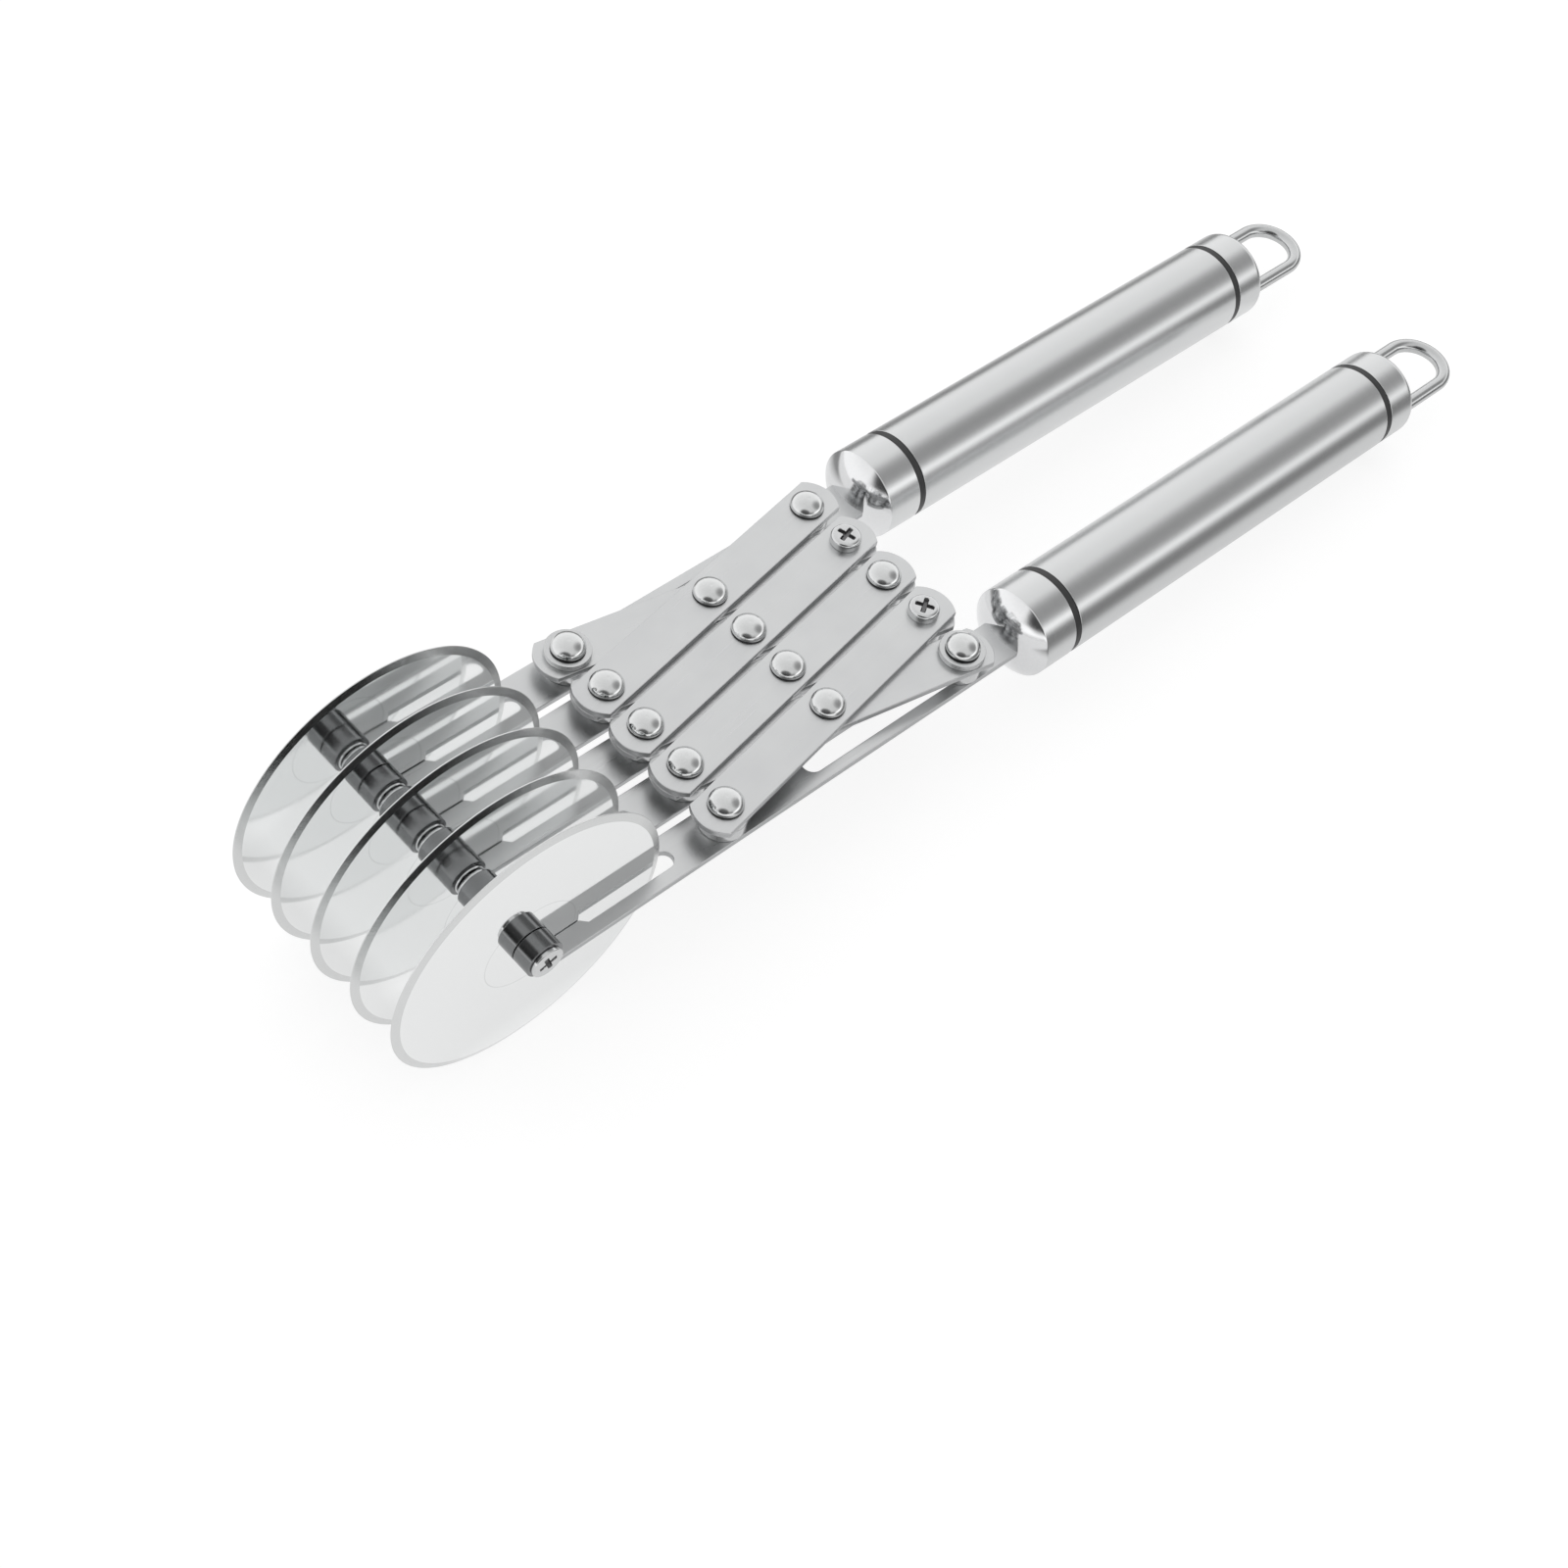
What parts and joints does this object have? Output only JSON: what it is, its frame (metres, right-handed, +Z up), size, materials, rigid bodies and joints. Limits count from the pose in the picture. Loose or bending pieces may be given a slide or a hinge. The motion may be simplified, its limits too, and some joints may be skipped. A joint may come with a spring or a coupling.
{
  "type": "pizza wheel",
  "caption": "Expanding dough and pizza cutter: parallel wheels on slotted arms, spaced by a scissor linkage and opened with a pair of tube handles.",
  "frame": {"origin": "on the table under the middle of the closed cutter as it lies in the picture, resting on its wheels and the rear ends of its handles", "axes": "+X from the wheels to the handles, +Y across to the wheel farthest from the camera, +Z up; the wheels' axles lie along Y"},
  "size_m": [0.273, 0.0602, 0.056],
  "materials": {
    "mirror_steel": "mirror-polished stainless steel with a ground bevel at the rim",
    "screw_steel": "bright zinc-plated steel screw",
    "sheet_steel": "finely brushed stainless sheet, grain along the strip",
    "rivet_steel": "polished domed steel",
    "washer_steel": "turned steel washer",
    "tube_steel": "satin stainless tube, brushed around",
    "cap_steel": "polished to satin stainless cap",
    "black_ring": "black plastic ring",
    "wire_steel": "polished stainless wire"
  },
  "bodies": {
    "arm_3": {"arm_3": "sheet_steel", "axle_screw_3": "screw_steel", "front_rivet_3": "rivet_steel", "front_spacer_3": "washer_steel"},
    "arm_2": {"arm_2": "sheet_steel", "axle_screw_2": "screw_steel", "front_rivet_2": "rivet_steel", "front_spacer_2": "washer_steel"},
    "arm_4": {"arm_4": "sheet_steel", "axle_screw_4": "screw_steel", "front_rivet_4": "rivet_steel", "front_spacer_4": "washer_steel"},
    "arm_1": {"arm_1": "sheet_steel", "axle_screw_1": "screw_steel", "front_rivet_1": "rivet_steel", "front_spacer_1": "washer_steel", "handle_1_front_cap": "cap_steel", "handle_1_tube": "tube_steel", "handle_1_rear_cap": "cap_steel", "handle_1_rings": "black_ring", "handle_1_loop": "wire_steel"},
    "arm_5": {"arm_5": "sheet_steel", "axle_screw_5": "screw_steel", "front_rivet_5": "rivet_steel", "front_spacer_5": "washer_steel", "handle_5_front_cap": "cap_steel", "handle_5_tube": "tube_steel", "handle_5_rear_cap": "cap_steel", "handle_5_rings": "black_ring", "handle_5_loop": "wire_steel"},
    "wheel_1": {"wheel_1": "mirror_steel"},
    "wheel_2": {"wheel_2": "mirror_steel"},
    "wheel_3": {"wheel_3": "mirror_steel"},
    "wheel_4": {"wheel_4": "mirror_steel"},
    "wheel_5": {"wheel_5": "mirror_steel"},
    "upper_link_1": {"upper_link_1": "sheet_steel", "rear_pin_1": "rivet_steel", "rear_spacer_1": "washer_steel"},
    "lower_link_1": {"lower_link_1": "sheet_steel", "middle_rivet_1": "rivet_steel"},
    "upper_link_2": {"upper_link_2": "sheet_steel", "rear_pin_2": "rivet_steel", "rear_spacer_2": "washer_steel"},
    "lower_link_2": {"lower_link_2": "sheet_steel", "middle_rivet_2": "rivet_steel"},
    "upper_link_3": {"upper_link_3": "sheet_steel", "rear_pin_3": "rivet_steel", "rear_spacer_3": "washer_steel"},
    "lower_link_3": {"lower_link_3": "sheet_steel", "middle_rivet_3": "rivet_steel"},
    "upper_link_4": {"upper_link_4": "sheet_steel", "rear_pin_4": "rivet_steel", "rear_spacer_4": "washer_steel"},
    "lower_link_4": {"lower_link_4": "sheet_steel", "middle_rivet_4": "rivet_steel", "rear_pin_5": "rivet_steel", "rear_spacer_5": "washer_steel"}
  },
  "joints": [
    {"name": "spread", "type": "hinge", "parent": "arm_3", "child": "upper_link_2", "pos_m": [-0.06551, 0, 0.02656], "axis": [0.0705, 0, 0.9975], "range_deg": [0, 58]},
    {"name": "lower_link_3_on_arm_3", "type": "hinge", "parent": "arm_3", "child": "lower_link_3", "pos_m": [-0.06551, 0, 0.02656], "axis": [0.0705, 0, 0.9975], "range_deg": [-58, 0]},
    {"name": "lower_link_2_on_upper_link_2", "type": "hinge", "parent": "upper_link_2", "child": "lower_link_2", "pos_m": [-0.03655, 0.00525, 0.02452], "axis": [0.0705, 0, 0.9975], "range_deg": [-116, 0]},
    {"name": "upper_link_3_on_lower_link_3", "type": "hinge", "parent": "lower_link_3", "child": "upper_link_3", "pos_m": [-0.03655, -0.00525, 0.02452], "axis": [0.0705, 0, 0.9975], "range_deg": [0, 116]},
    {"name": "arm_4_on_upper_link_3", "type": "hinge", "parent": "upper_link_3", "child": "arm_4", "pos_m": [-0.06551, -0.0105, 0.02656], "axis": [0.0705, 0, 0.9975], "range_deg": [-58, 0]},
    {"name": "lower_link_4_on_upper_link_3", "type": "hinge", "parent": "upper_link_3", "child": "lower_link_4", "pos_m": [-0.06551, -0.0105, 0.02656], "axis": [0.0705, 0, 0.9975], "range_deg": [-116, 0]},
    {"name": "upper_link_4_on_lower_link_4", "type": "hinge", "parent": "lower_link_4", "child": "upper_link_4", "pos_m": [-0.03655, -0.01575, 0.02452], "axis": [0.0705, 0, 0.9975], "range_deg": [0, 116]},
    {"name": "arm_5_on_upper_link_4", "type": "hinge", "parent": "upper_link_4", "child": "arm_5", "pos_m": [-0.06551, -0.021, 0.02656], "axis": [0.0705, 0, 0.9975], "range_deg": [-58, 0]},
    {"name": "arm_2_on_lower_link_2", "type": "hinge", "parent": "lower_link_2", "child": "arm_2", "pos_m": [-0.06551, 0.0105, 0.02656], "axis": [0.0705, 0, 0.9975], "range_deg": [0, 58]},
    {"name": "upper_link_1_on_lower_link_2", "type": "hinge", "parent": "lower_link_2", "child": "upper_link_1", "pos_m": [-0.06551, 0.0105, 0.02656], "axis": [0.0705, 0, 0.9975], "range_deg": [0, 116]},
    {"name": "lower_link_1_on_upper_link_1", "type": "hinge", "parent": "upper_link_1", "child": "lower_link_1", "pos_m": [-0.03655, 0.01575, 0.02452], "axis": [0.0705, 0, 0.9975], "range_deg": [-116, 0]},
    {"name": "arm_1_on_lower_link_1", "type": "hinge", "parent": "lower_link_1", "child": "arm_1", "pos_m": [-0.06551, 0.021, 0.02656], "axis": [0.0705, 0, 0.9975], "range_deg": [0, 58]},
    {"name": "wheel_1_spin", "type": "hinge", "parent": "arm_1", "child": "wheel_1", "pos_m": [-0.10852, 0.021, 0.028], "axis": [0, 1, 0], "continuous": true},
    {"name": "wheel_2_spin", "type": "hinge", "parent": "arm_2", "child": "wheel_2", "pos_m": [-0.10852, 0.0105, 0.028], "axis": [0, 1, 0], "continuous": true},
    {"name": "wheel_3_spin", "type": "hinge", "parent": "arm_3", "child": "wheel_3", "pos_m": [-0.10852, 0, 0.028], "axis": [0, 1, 0], "continuous": true},
    {"name": "wheel_4_spin", "type": "hinge", "parent": "arm_4", "child": "wheel_4", "pos_m": [-0.10852, -0.0105, 0.028], "axis": [0, 1, 0], "continuous": true},
    {"name": "wheel_5_spin", "type": "hinge", "parent": "arm_5", "child": "wheel_5", "pos_m": [-0.10852, -0.021, 0.028], "axis": [0, 1, 0], "continuous": true}
  ],
  "couplings": [
    {"joint": "lower_link_3_on_arm_3", "follows": "spread", "ratio": -1},
    {"joint": "lower_link_2_on_upper_link_2", "follows": "spread", "ratio": -2},
    {"joint": "upper_link_3_on_lower_link_3", "follows": "spread", "ratio": 2},
    {"joint": "arm_4_on_upper_link_3", "follows": "spread", "ratio": -1},
    {"joint": "lower_link_4_on_upper_link_3", "follows": "spread", "ratio": -2},
    {"joint": "upper_link_4_on_lower_link_4", "follows": "spread", "ratio": 2},
    {"joint": "arm_5_on_upper_link_4", "follows": "spread", "ratio": -1},
    {"joint": "arm_2_on_lower_link_2", "follows": "spread", "ratio": 1},
    {"joint": "upper_link_1_on_lower_link_2", "follows": "spread", "ratio": 2},
    {"joint": "lower_link_1_on_upper_link_1", "follows": "spread", "ratio": -2},
    {"joint": "arm_1_on_lower_link_1", "follows": "spread", "ratio": 1}
  ]
}
